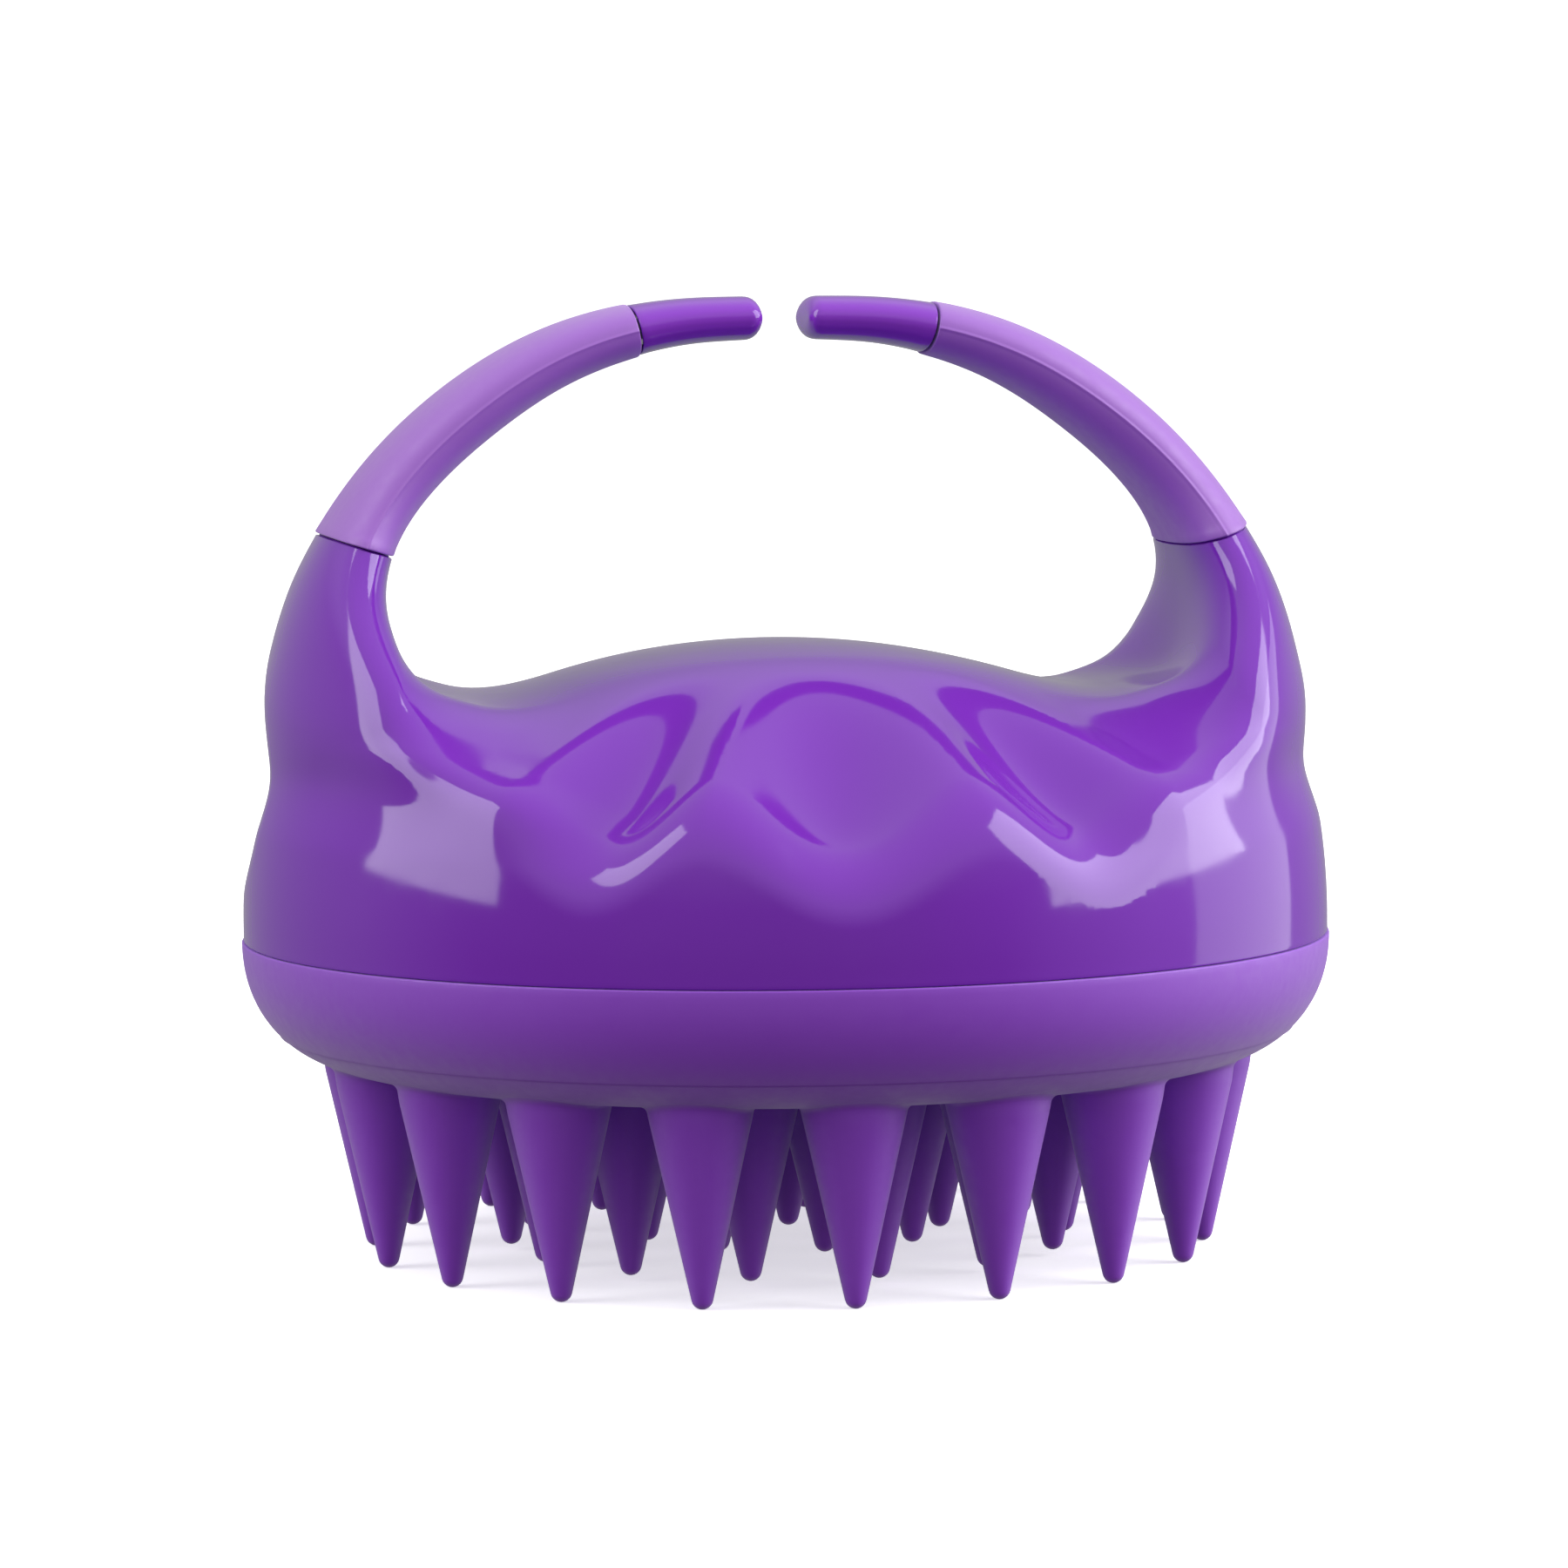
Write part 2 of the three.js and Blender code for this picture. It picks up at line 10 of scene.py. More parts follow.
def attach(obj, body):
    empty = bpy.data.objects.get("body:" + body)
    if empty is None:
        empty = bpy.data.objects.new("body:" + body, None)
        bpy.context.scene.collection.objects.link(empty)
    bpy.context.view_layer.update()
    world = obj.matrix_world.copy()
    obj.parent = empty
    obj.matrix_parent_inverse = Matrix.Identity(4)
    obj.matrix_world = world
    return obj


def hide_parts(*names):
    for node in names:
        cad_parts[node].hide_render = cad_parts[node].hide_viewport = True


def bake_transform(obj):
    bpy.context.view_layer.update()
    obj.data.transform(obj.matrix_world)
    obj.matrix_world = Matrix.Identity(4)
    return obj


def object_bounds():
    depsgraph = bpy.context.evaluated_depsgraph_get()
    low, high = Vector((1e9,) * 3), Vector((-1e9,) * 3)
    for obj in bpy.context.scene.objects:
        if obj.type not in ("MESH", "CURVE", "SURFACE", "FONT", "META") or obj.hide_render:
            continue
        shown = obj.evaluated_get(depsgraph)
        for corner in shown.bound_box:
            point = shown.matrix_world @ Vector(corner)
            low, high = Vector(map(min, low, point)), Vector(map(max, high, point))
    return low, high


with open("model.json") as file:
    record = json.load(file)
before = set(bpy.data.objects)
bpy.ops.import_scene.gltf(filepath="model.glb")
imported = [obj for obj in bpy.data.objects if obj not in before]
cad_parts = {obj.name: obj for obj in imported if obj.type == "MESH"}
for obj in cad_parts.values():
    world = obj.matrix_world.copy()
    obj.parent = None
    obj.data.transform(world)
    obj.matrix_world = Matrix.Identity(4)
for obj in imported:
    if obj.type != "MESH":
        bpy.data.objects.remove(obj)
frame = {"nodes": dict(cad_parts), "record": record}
cad_low, cad_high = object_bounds()

# Shapes below are worked out in millimetres and turned into metres when a mesh is made.
MM = 0.001

# ---------- dimensions shared with the CAD ----------

GAP = 0.2                 # width of the visible line at each end of a sleeve
RIM_GAP = 0.05            # width of the visible line between shell and pad
RIM_Z = 27.5              # parting plane between shell and pad
BODY_R = cad_high[0] / MM # widest radius
SADDLE_Z = 52.95          # crest of the saddle between the arms
SADDLE_FALL = 0.0074      # how fast the saddle falls towards the arms
SADDLE_FLAT = 40.0        # beyond this distance it falls no further
CROWN = 0.003             # how fast it falls towards front and back
SLOPE_R, SLOPE = 22.0, 0.42  # beyond this radius the top slopes down to the wall
CREASE_BLEND = 2.5        # how softly the saddle turns into that slope
WALL_START, WALL_CURVE = 29.0, 0.013  # the wall stands upright to this height and then curves in
WALL_SIDE = 0.35          # how much less it curves in at the left and right sides
EDGE_BLEND = 4.2          # how softly the top turns into the wall
ARM_BLEND, VALLEY_BLEND = 5.0, 14.5  # how softly an arm meets the dome outside and inside the ring
VALLEY_X, VALLEY_Y = (28.0, 42.0), (14.0, 32.0)  # where the softer meeting fades out
SHELL_INSET = 0.16        # the shell's wall stands this far inside the pad's lip

# Finger hollows: degrees from the front, half width in degrees, depth.
FLUTES = [(-28.5, 12.0, 4.0), (-2.0, 15.5, 4.8), (25.5, 12.5, 4.0)]
FLUTE_IN, FLUTE_OUT = 20.0, 42.0  # radii between which they reach their full depth

# Thumb hollows: an egg shape scooped out of each side of the wall.
THUMB_ANGLE = math.radians(98)
THUMB_R, THUMB_Z = 54.1, 41.0
THUMB_WIDE, THUMB_IN = 17.0, 10.0
THUMB_UP, THUMB_DOWN = 15.0, 10.0
THUMB_SIZE = 8            # turns the egg's own measure into rough millimetres
THUMB_BLEND = 2.0

ARM_STATIONS = np.array([
    # x, z, half thickness, half width, bow: how fast the section turns inward towards its edges
    (35.0, 38.0, 5.0, 30.0, 0.0095),
    (39.5, 44.5, 5.4, 27.0, 0.0085),
    (39.8, 51.0, 5.0, 22.5, 0.0080),
    (39.0, 57.5, 3.75, 15.4, 0.0050),
    (37.3, 61.8, 3.1, 11.6, 0.0028),
    (33.2, 67.7, 2.8, 9.0, 0.0020),
    (27.0, 73.3, 2.75, 8.0, 0.0015),
    (19.9, 77.6, 2.5, 7.0, 0.0010),
    (12.9, 79.9, 2.2, 6.0, 0.0),
    (8.0, 80.65, 2.0, 5.4, 0.0),
    (3.5, 80.85, 1.9, 5.0, 0.0),
])
SECTION_POWER = 2.25      # 2 would be an ellipse, more is boxier
ROOT_JOINT, TIP_JOINT = 4, 8  # the stations where the sleeve starts and ends
JOINT_TILT = math.radians(10)  # the root joint lies this much flatter than square to the arm
TILT_RUN = 8.0            # length of sleeve over which the rings turn square to the arm
COLUMN_FLOOR, COLUMN_TOP = 42.0, 67.0  # each arm's foot is a column between these heights
FLOOR_BLEND = 4.0         # how softly the column ends at its floor

PAD_FLOOR_Z = 16.8
PAD_CORNER_R, PAD_CORNER_POWER = 37.0, 2.15  # where the rounded corner starts, and how boxy it is
TINE_BASE_R = 4.5
# Rings of tines: radius, number, turn in steps, height of the tips.
TINE_RINGS = [(36.2, 18, 0.0, 0.0), (24.3, 14, 0.37, 0.5), (13.3, 9, 0.12, 1.2), (0.0, 1, 0.0, 1.6)]


# ---------- mesh helpers ----------

def new_object(name, points, faces, material, normals=None):
    data = bpy.data.meshes.new(name)
    data.from_pydata((np.asarray(points) * MM).tolist(), [], [list(map(int, f)) for f in faces])
    data.update()
    data.polygons.foreach_set("use_smooth", [True] * len(data.polygons))
    if normals is not None:
        data.normals_split_custom_set_from_vertices(np.asarray(normals).tolist())
    obj = bpy.data.objects.new(name, data)
    bpy.context.scene.collection.objects.link(obj)
    data.materials.append(material)
    return obj


def mirror(points, faces):
    flipped = np.array(points)
    flipped[:, 0] *= -1
    return flipped, [tuple(reversed(f)) for f in faces]


def loft(rings, cap_start=True, cap_end=True):
    """Joins closed rings of points into a skin, with one flat face across each end."""
    n = len(rings[0])
    points = np.concatenate(rings)
    faces = []
    for i in range(len(rings) - 1):
        for j in range(n):
            a, b = i * n + j, i * n + (j + 1) % n
            faces.append((a, a + n, b + n, b))
    last = (len(rings) - 1) * n
    if cap_start:
        faces.append(tuple(range(n)))
    if cap_end:
        faces.append(tuple(reversed(range(last, last + n))))
    return points, faces


def smooth_min(a, b, k):
    """The smaller of two values, blended where they are within k of each other."""
    h = np.clip(0.5 + 0.5 * (b - a) / k, 0, 1)
    return b + (a - b) * h - k * h * (1 - h)


def smooth_max(a, b, k):
    return -smooth_min(-a, -b, k)


# ---------- the arm's centre line, as a natural cubic spline ----------

def natural_spline(knots, values, at):
    """The smoothest curve through values at knots, evaluated at the given places."""
    n = len(knots)
    step = np.diff(knots)
    system = np.zeros((n, n))
    right = np.zeros((n, values.shape[1]))
    system[0, 0] = system[-1, -1] = 1
    slope = np.diff(values, axis=0) / step[:, None]
    for i in range(1, n - 1):
        system[i, i - 1:i + 2] = step[i - 1], 2 * (step[i - 1] + step[i]), step[i]
        right[i] = 6 * (slope[i] - slope[i - 1])
    bend = np.linalg.solve(system, right)
    i = np.clip(np.searchsorted(knots, at, side="right") - 1, 0, n - 2)
    t = np.asarray(at)[:, None]
    low, high, span = knots[i][:, None], knots[i + 1][:, None], step[i][:, None]
    u, v = t - low, high - t
    return (bend[i] * v ** 3 + bend[i + 1] * u ** 3) / (6 * span) \
        + (values[i] / span - bend[i] * span / 6) * v \
        + (values[i + 1] / span - bend[i + 1] * span / 6) * u


ARM_KNOTS = np.concatenate([[0], np.cumsum(np.hypot(*np.diff(ARM_STATIONS[:, :2], axis=0).T))])
NUDGE = 0.01              # step along the centre line for its direction


def arm_frames(places):
    """Centre, travel direction and half sizes of the arm at distances along its centre line."""
    places = np.atleast_1d(np.asarray(places, float))
    sizes = natural_spline(ARM_KNOTS, ARM_STATIONS, places)
    ahead = natural_spline(ARM_KNOTS, ARM_STATIONS[:, :2], places + NUDGE)
    behind = natural_spline(ARM_KNOTS, ARM_STATIONS[:, :2], places - NUDGE)
    along = (ahead - behind) / np.linalg.norm(ahead - behind, axis=1)[:, None]
    return sizes[:, :2], along, sizes[:, 2], sizes[:, 3], sizes[:, 4]


# ---------- the shell as a field: negative inside, roughly in mm ----------

def wall_radius(z, side):
    """Side is 1 for a point at the far left or right and 0 for one at the front or back."""
    lean = WALL_CURVE * np.maximum(0, z - WALL_START) ** 2
    return BODY_R - SHELL_INSET - lean * (1 - WALL_SIDE * side)


def scoop(x, y, z, angle):
    """The egg shape of one thumb hollow, at the given angle from the front."""
    across = x * math.cos(angle) + y * math.sin(angle)
    outward = x * math.sin(angle) - y * math.cos(angle) - THUMB_R
    tall = np.where(z > THUMB_Z, THUMB_UP, THUMB_DOWN)
    reach = (across / THUMB_WIDE) ** 2 + (outward / THUMB_IN) ** 2 + ((z - THUMB_Z) / tall) ** 2
    return (np.sqrt(reach) - 1) * THUMB_SIZE


def fluting(x, y, r):
    """How far the finger hollows sink the sloping front and back faces."""
    turn = np.degrees(np.arctan2(x, np.abs(y)))
    ramp = np.clip((r - FLUTE_IN) / (FLUTE_OUT - FLUTE_IN), 0, 1)
    depth = sum(deep * np.cos(math.pi / 2 * np.clip((turn - middle) / half, -1, 1)) ** 2
                for middle, half, deep in FLUTES)
    return depth * ramp * ramp * (3 - 2 * ramp)


def bow_shift(bow, y, wide):
    """A parabola near the middle that levels off beyond the given width."""
    return bow * y * y / np.cbrt(1 + (y / wide) ** 6)


def dome_field(x, y, z):
    r = np.hypot(x, y)
    saddle = SADDLE_Z - bow_shift(SADDLE_FALL, x, SADDLE_FLAT) - CROWN * y * y
    side = (x / np.maximum(r, 1)) ** 4
    cone = SADDLE_Z - CROWN * SLOPE_R ** 2 - SLOPE * (r - SLOPE_R)
    top = smooth_min(saddle, cone, CREASE_BLEND) - fluting(x, y, r)
    return smooth_max(r - wall_radius(z, side), z - top, EDGE_BLEND)


LEAN_STEP = 0.05          # step in height for the column's lean


def arm_field(x, y, z):
    """The foot of each arm: an upright column whose section changes with height."""
    column = ARM_STATIONS[:ROOT_JOINT + 3]
    heights = np.clip(z, column[0, 1], column[-1, 1]).ravel()
    middle, _, thick, wide, bow = natural_spline(column[:, 1], column, heights).T.reshape(5, *z.shape)
    higher = natural_spline(column[:, 1], column[:, :1], heights + LEAN_STEP)
    lower = natural_spline(column[:, 1], column[:, :1], heights - LEAN_STEP)
    lean = (higher - lower).reshape(z.shape) / (2 * LEAN_STEP)
    across = (np.abs(x) - middle) / np.hypot(1, lean) + bow_shift(bow, y, wide)
    reach = np.abs(across / thick) ** SECTION_POWER + np.abs(y / wide) ** SECTION_POWER
    value = np.maximum((reach ** (1 / SECTION_POWER) - 1) * thick, z - COLUMN_TOP)
    return smooth_max(value, COLUMN_FLOOR - z, FLOOR_BLEND)


def ease(value, start, end):
    """Goes smoothly from one at start to nothing at end."""
    t = np.clip((end - value) / (end - start), 0, 1)
    return t * t * (3 - 2 * t)


def shell_field(x, y, z):
    inside = ease(np.abs(x), *VALLEY_X) * ease(np.abs(y), *VALLEY_Y)
    softness = ARM_BLEND + (VALLEY_BLEND - ARM_BLEND) * inside
    value = smooth_min(dome_field(x, y, z), arm_field(x, y, z), softness)
    for side in (-1, 1):
        value = smooth_max(value, -scoop(x, y, z, side * THUMB_ANGLE), THUMB_BLEND)
    return value


SLOPE_STEP = 0.02         # step to each side for a field's slope
TINY = 1e-9               # keeps a length of nothing from being divided by


def field_slope(field, points):
    slope = np.empty_like(points)
    for k in range(3):
        step = np.zeros(3)
        step[k] = SLOPE_STEP
        slope[:, k] = field(*(points + step).T) - field(*(points - step).T)
    return slope / (2 * SLOPE_STEP)


RELAX_ROUNDS, RELAX_SHARE = 6, 0.6  # each round moves a point this far towards its neighbours' middle
SETTLE_ROUNDS = 2
FLATTEST = 0.05           # keeps a step towards the surface short where the field is nearly flat
CORNERS = [(a & 1, a >> 1 & 1, a >> 2 & 1) for a in range(8)]
CELL_EDGES = [(a, a | bit) for a in range(8) for bit in (1, 2, 4) if not a & bit]


def wrap_field(field, low, high, step):
    """A net of quads on the field's zero surface, with one point in each crossed cell."""
    axes = [np.arange(low[k], high[k] + step, step) for k in range(3)]
    value = field(*np.meshgrid(*axes, indexing="ij"))
    inside = value < 0
    cells = [n - 1 for n in value.shape]

    def corner(grid, c):
        return grid[c[0]:c[0] + cells[0], c[1]:c[1] + cells[1], c[2]:c[2] + cells[2]]

    total = np.zeros((*cells, 3))
    hits = np.zeros(cells)
    for a, b in CELL_EDGES:
        start, end = np.array(CORNERS[a]), np.array(CORNERS[b])
        low_value, high_value = corner(value, start), corner(value, end)
        crossed = corner(inside, start) != corner(inside, end)
        t = np.where(crossed, low_value / np.where(crossed, low_value - high_value, 1), 0)
        total += crossed[..., None] * (start + (end - start) * t[..., None])
        hits += crossed
    used = np.argwhere(hits > 0)
    index = np.full(cells, -1)
    index[tuple(used.T)] = np.arange(len(used))
    spots = total[tuple(used.T)] / hits[tuple(used.T)][:, None]
    points = (used + spots) * step + np.array(low)
    faces = []
    for axis in range(3):
        one = np.eye(3, dtype=int)[axis]
        u, v = np.eye(3, dtype=int)[(axis + 1) % 3], np.eye(3, dtype=int)[(axis + 2) % 3]
        here = inside[:value.shape[0] - one[0], :value.shape[1] - one[1], :value.shape[2] - one[2]]
        there = inside[one[0]:, one[1]:, one[2]:]
        crossings = np.argwhere(here != there)
        crossings = crossings[(crossings @ u > 0) & (crossings @ v > 0)]
        inner = here[tuple(crossings.T)]
        ring = [index[tuple((crossings - s * u - t * v).T)] for s, t in ((0, 0), (1, 0), (1, 1), (0, 1))]
        quads = np.stack(ring, axis=1)
        quads[~inner] = quads[~inner][:, ::-1]
        faces.append(quads)
    faces = np.concatenate(faces)
    return relax(field, points, faces, step), faces


def relax(field, points, faces, step):
    """Evens out the net, then sets its points exactly on the surface."""
    a = np.concatenate([faces[:, i] for i in range(4)])
    b = np.concatenate([faces[:, (i + 1) % 4] for i in range(4)])
    size = len(points)
    count = np.bincount(a, minlength=size) + np.bincount(b, minlength=size)
    for _ in range(RELAX_ROUNDS):
        sums = [np.bincount(a, points[b, k], size) + np.bincount(b, points[a, k], size)
                for k in range(3)]
        mean = np.stack(sums, axis=1) / count[:, None]
        slope = field_slope(field, points)
        slope /= np.linalg.norm(slope, axis=1)[:, None]
        move = (mean - points) * RELAX_SHARE
        points = points + move - slope * np.sum(move * slope, axis=1)[:, None]
        points = settle(field, points, step)
    return points


def settle(field, points, most):
    """Moves the points onto the surface, by no more than the given distance in one step."""
    for _ in range(SETTLE_ROUNDS):
        slope = field_slope(field, points)
        squared = np.maximum(np.sum(slope ** 2, axis=1), FLATTEST)
        move = -slope * (field(*points.T) / squared)[:, None]
        length = np.linalg.norm(move, axis=1)
        points = points + move * np.minimum(1, most / np.maximum(length, TINY))[:, None]
    return points


# ---------- the grip shell ----------

NET_STEP = 0.7
NET_LOW, NET_HIGH = (-50, -50, RIM_Z - 2), (50, 50, 71)
RIM_BAND = 3              # faces this near the parting plane take part in its cut
ROOT_HEIGHT, ROOT_X = 56, 20  # faces beyond these take part in the cut across an arm root
ROUND = 0.14              # radius of the small round on cut edges
# Sine and cosine of the steps round it, from the piece's side to its flat end.
ROUND_STEPS = [(math.sin(math.radians(t)), math.cos(math.radians(t))) for t in (0, 25, 50, 70, 90)]
RIM_PLANE = (np.array([0, 0, RIM_Z + RIM_GAP / 2]), np.array([0.0, 0.0, -1.0]))
SOCKET_DEPTH = 5.8        # depth of the slot in an arm root
LAND_INSET, LAND_RISE = 0.05, 0.12  # the raised land that closes the joint behind its visible line
SOCKET_HALF = (1.55, 3.7)  # across the arm's thickness and its width
CUT_SLACK = 1e-5          # points this near the cut plane count as on it
RIM_SLACK = 0.02          # the rim's round keeps its own normals up to this far above it
NEAR_FIELD = 0.05         # points this near the field's surface take its normals
# The inner lining: radius, height above the rim.
INSIDE = [(44.8, 0.0), (44.8, 5.0), (39.5, 9.5), (31.0, 14.0), (16.0, 18.0), (0.5, 19.0)]


def joint_plane(side, shift):
    """Centre and outward direction of the cut across one arm root."""
    at, along, *_ = arm_frames(ARM_KNOTS[ROOT_JOINT])
    out = np.array([along[0, 1], -along[0, 0]])
    normal = along[0] * math.cos(JOINT_TILT) + out * math.sin(JOINT_TILT)
    centre = at[0] + normal * shift
    return np.array([side * centre[0], 0, centre[1]]), np.array([side * normal[0], 0, normal[1]])


def edge_ring(edges):
    """The vertices of a closed chain of edges, in order."""
    ring = list(edges[0].verts)
    rest = set(edges[1:])
    while rest:
        following = next((e for e in ring[-1].link_edges if e in rest), None)
        if following is None:
            break
        rest.discard(following)
        ring.append(following.other_vert(ring[-1]))
    return ring[:-1] if ring[-1] == ring[0] else ring


def stitch(net, ring, points):
    """Adds one more ring of points and the band of faces up to it."""
    made = [net.verts.new(p) for p in points]
    n = len(ring)
    for j in range(n):
        net.faces.new((ring[j], ring[(j + 1) % n], made[(j + 1) % n], made[j]))
    return made


def round_over(net, ring, spot, normal):
    """Turns a cut edge over a small round, from just inside the cut plane onto it."""
    points = np.array([v.co for v in ring])
    along = np.roll(points, -1, axis=0) - np.roll(points, 1, axis=0)
    inward = np.cross(along, normal)
    inward /= np.linalg.norm(inward, axis=1)[:, None]
    if np.sum(inward * (points - spot)) > 0:
        inward = -inward
    for sine, cosine in ROUND_STEPS[1:]:
        moved = points + normal * ROUND * sine + inward * ROUND * (1 - cosine)
        ring = stitch(net, ring, moved)
    return ring


def toward_slot(points, spot, out, half):
    """Each point pulled in along its ray from the centre onto a slot's outline."""
    a = (points - spot) @ out
    b = points[:, 1] - spot[1]
    share = 1 / np.maximum(np.abs(a) / half[0], np.abs(b) / half[1])
    return spot + np.outer(a * share, out) + np.outer(b * share, (0, 1, 0))


def cut_region(net, spot):
    """The part of the net that a cut at this spot is meant for."""
    if spot[0] == 0:
        faces = [f for f in net.faces if min(v.co.z for v in f.verts) < RIM_Z + RIM_BAND]
    else:
        side = math.copysign(1, spot[0])
        faces = [f for f in net.faces
                 if all(v.co.z > ROOT_HEIGHT and v.co.x * side > ROOT_X for v in f.verts)]
    edges = dict.fromkeys(e for f in faces for e in f.edges)
    verts = dict.fromkeys(v for f in faces for v in f.verts)
    return [*verts, *edges, *faces]


def build_shell(material):
    points, faces = wrap_field(shell_field, NET_LOW, NET_HIGH, NET_STEP)
    net = bmesh.new()
    verts = [net.verts.new(p) for p in points]
    for f in faces:
        net.faces.new([verts[i] for i in f])
    planes = [RIM_PLANE, joint_plane(1, -GAP / 2), joint_plane(-1, -GAP / 2)]
    rings = []
    for spot, normal in planes:
        near = cut_region(net, spot)
        cut = bmesh.ops.bisect_plane(net, geom=near, dist=CUT_SLACK, clear_outer=True,
                                     plane_co=spot - normal * ROUND, plane_no=normal)
        edges = [e for e in cut["geom_cut"] if isinstance(e, bmesh.types.BMEdge)]
        rings.append(edge_ring(edges))
    ends = [round_over(net, ring, *plane) for ring, plane in zip(rings, planes)]
    line_inside(net, ends[0])
    for ring, (spot, normal) in zip(ends[1:], planes[1:]):
        sink_socket(net, ring, spot, normal)
    bmesh.ops.recalc_face_normals(net, faces=list(net.faces))
    return finish_net(net, "grip_shell_skin", material)


def line_inside(net, ring):
    """The rim's flat underside and the plain inner lining."""
    points = np.array([v.co for v in ring])
    turn = points[:, :2] / np.linalg.norm(points[:, :2], axis=1)[:, None]
    floor = RIM_PLANE[0][2]
    for radius, rise in INSIDE:
        moved = np.column_stack([turn * radius, np.full(len(turn), floor + rise)])
        ring = stitch(net, ring, moved)
    net.faces.new(ring)


def sink_socket(net, ring, spot, normal):
    """The flat land across an arm root, and the slot in it that holds the inner strip."""
    out = np.cross(normal, (0, 1, 0))
    points = np.array([v.co for v in ring])
    inner = points + (spot - points) * LAND_INSET
    ring = stitch(net, ring, inner)
    ring = stitch(net, ring, inner + normal * LAND_RISE)
    mouth = toward_slot(points, spot, out, SOCKET_HALF) + normal * LAND_RISE
    ring = stitch(net, ring, mouth)
    ring = stitch(net, ring, mouth - normal * SOCKET_DEPTH)
    net.faces.new(ring)


def finish_net(net, name, material):
    data = bpy.data.meshes.new(name)
    for v in net.verts:
        v.co *= MM
    net.to_mesh(data)
    net.free()
    data.polygons.foreach_set("use_smooth", [True] * len(data.polygons))
    obj = bpy.data.objects.new(name, data)
    bpy.context.scene.collection.objects.link(obj)
    data.materials.append(material)
    return obj


def exact_normals(obj, field, skip):
    """Gives the skin the field's own normals, so that reflections run clean across the net."""
    data = obj.data
    points = np.empty(len(data.vertices) * 3)
    normals = np.empty(len(data.vertices) * 3)
    data.vertices.foreach_get("co", points)
    data.vertices.foreach_get("normal", normals)
    points = points.reshape(-1, 3) / MM
    normals = normals.reshape(-1, 3)
    slope = field_slope(field, points)
    slope /= np.maximum(np.linalg.norm(slope, axis=1), TINY)[:, None]
    use = ~skip(points) & (np.abs(field(*points.T)) < NEAR_FIELD)
    normals[use] = slope[use]
    data.normals_split_custom_set_from_vertices(normals.tolist())


# ---------- arms ----------

SLEEVE_PROUD = 0.15       # the soft sleeve stands this far above the hard plastic at its ends
SEAM_SPREAD = np.array([-0.6, -0.3, -0.16, -0.07, 0, 0.07, 0.16, 0.3, 0.6])  # points across a seam
SEAM_HEIGHT, SEAM_WIDTH = 0.13, 0.13
PLAIN_SHARES = np.linspace(0.035, 0.215, 13)  # the other points, as shares of the way round
OUTLINE_STEPS = 1441      # the outline is measured on this many points
CORE_HALF = (1.1, 3.7)    # the channel that the inner strip runs in
END_CLEAR = 0.9           # plain rings keep this far from the small rounds at the ends
SLEEVE_RINGS, CHANNEL_RINGS, TIP_RINGS, POCKET_RINGS = 60, 16, 24, 4
CHANNEL_CLEAR = 1.5       # rings of the channel keep this far from the sleeve's ends
POCKET_DEPTH, POCKET_CLEAR = 4.6, 0.8  # the pocket in the tip, and where its last plain ring stands
BEND_RUN = 13.0           # a length along the sleeve from its root; bend_root measures the arm there but does not use it
NOSE_LENGTH, NOSE_POWER = 1.5, 2.8  # the blunt nose at each tip
# Degrees from the side of the tip to its front.
NOSE_TURNS = (6, 12, 20, 30, 42, 54, 65, 74, 81, 86, 89)


def section(thick, wide, seam):
    """One closed outline across the arm: first column across its thickness, second across its width."""
    turn = np.linspace(0, 2 * np.pi, OUTLINE_STEPS)
    power = 2 / SECTION_POWER
    a = -thick * np.sign(np.cos(turn)) * np.abs(np.cos(turn)) ** power
    b = wide * np.sign(np.sin(turn)) * np.abs(np.sin(turn)) ** power
    length = np.concatenate([[0], np.cumsum(np.hypot(np.diff(a), np.diff(b)))])
    spread = SEAM_SPREAD / length[-1]
    quarter = np.concatenate([PLAIN_SHARES, 0.5 - PLAIN_SHARES[::-1]])
    half = np.sort(np.concatenate([[0.0], quarter, 0.25 + spread]))
    shares = np.concatenate([half, half + 0.5])
    out = np.column_stack([np.interp(shares * length[-1], length, v) for v in (a, b)])
    from_seam = np.minimum(np.abs(shares - 0.25), np.abs(shares - 0.75)) * length[-1]
    out[:, 1] += seam * SEAM_HEIGHT * np.exp(-(from_seam / SEAM_WIDTH) ** 2) * np.sign(out[:, 1])
    return out


def arm_ring(place, inset=0.0, shift=0.0, seam=0.0):
    """The arm's outline at one place. A seam of 1 makes it the sleeve's, with its raised seam line."""
    at, along, thick, wide, bow = arm_frames(place)
    inset = inset - SLEEVE_PROUD * seam
    shape = section(thick[0] - inset, wide[0] - inset, seam)
    shape[:, 0] -= bow_shift(bow[0], shape[:, 1], wide[0])
    out = np.array([along[0, 1], 0, -along[0, 0]])
    ahead = np.array([along[0, 0], 0, along[0, 1]])
    tilt = math.tan(JOINT_TILT) * ease(place, ARM_KNOTS[ROOT_JOINT], ARM_KNOTS[ROOT_JOINT] + TILT_RUN)
    centre = np.array([at[0, 0], 0, at[0, 1]])
    return centre + np.outer(shape[:, 0], out) + np.outer(shape[:, 1], (0, 1, 0)) \
        + np.outer(shift - shape[:, 0] * tilt, ahead)


def slot_ring(place, shift=0.0):
    """The outline of the inner strip's channel at one place."""
    at, along, *_ = arm_frames(place)
    out = np.array([along[0, 1], 0, -along[0, 0]])
    centre = np.array([at[0, 0] + along[0, 0] * shift, 0, at[0, 1] + along[0, 1] * shift])
    return toward_slot(arm_ring(place, shift=shift), centre, out, CORE_HALF)


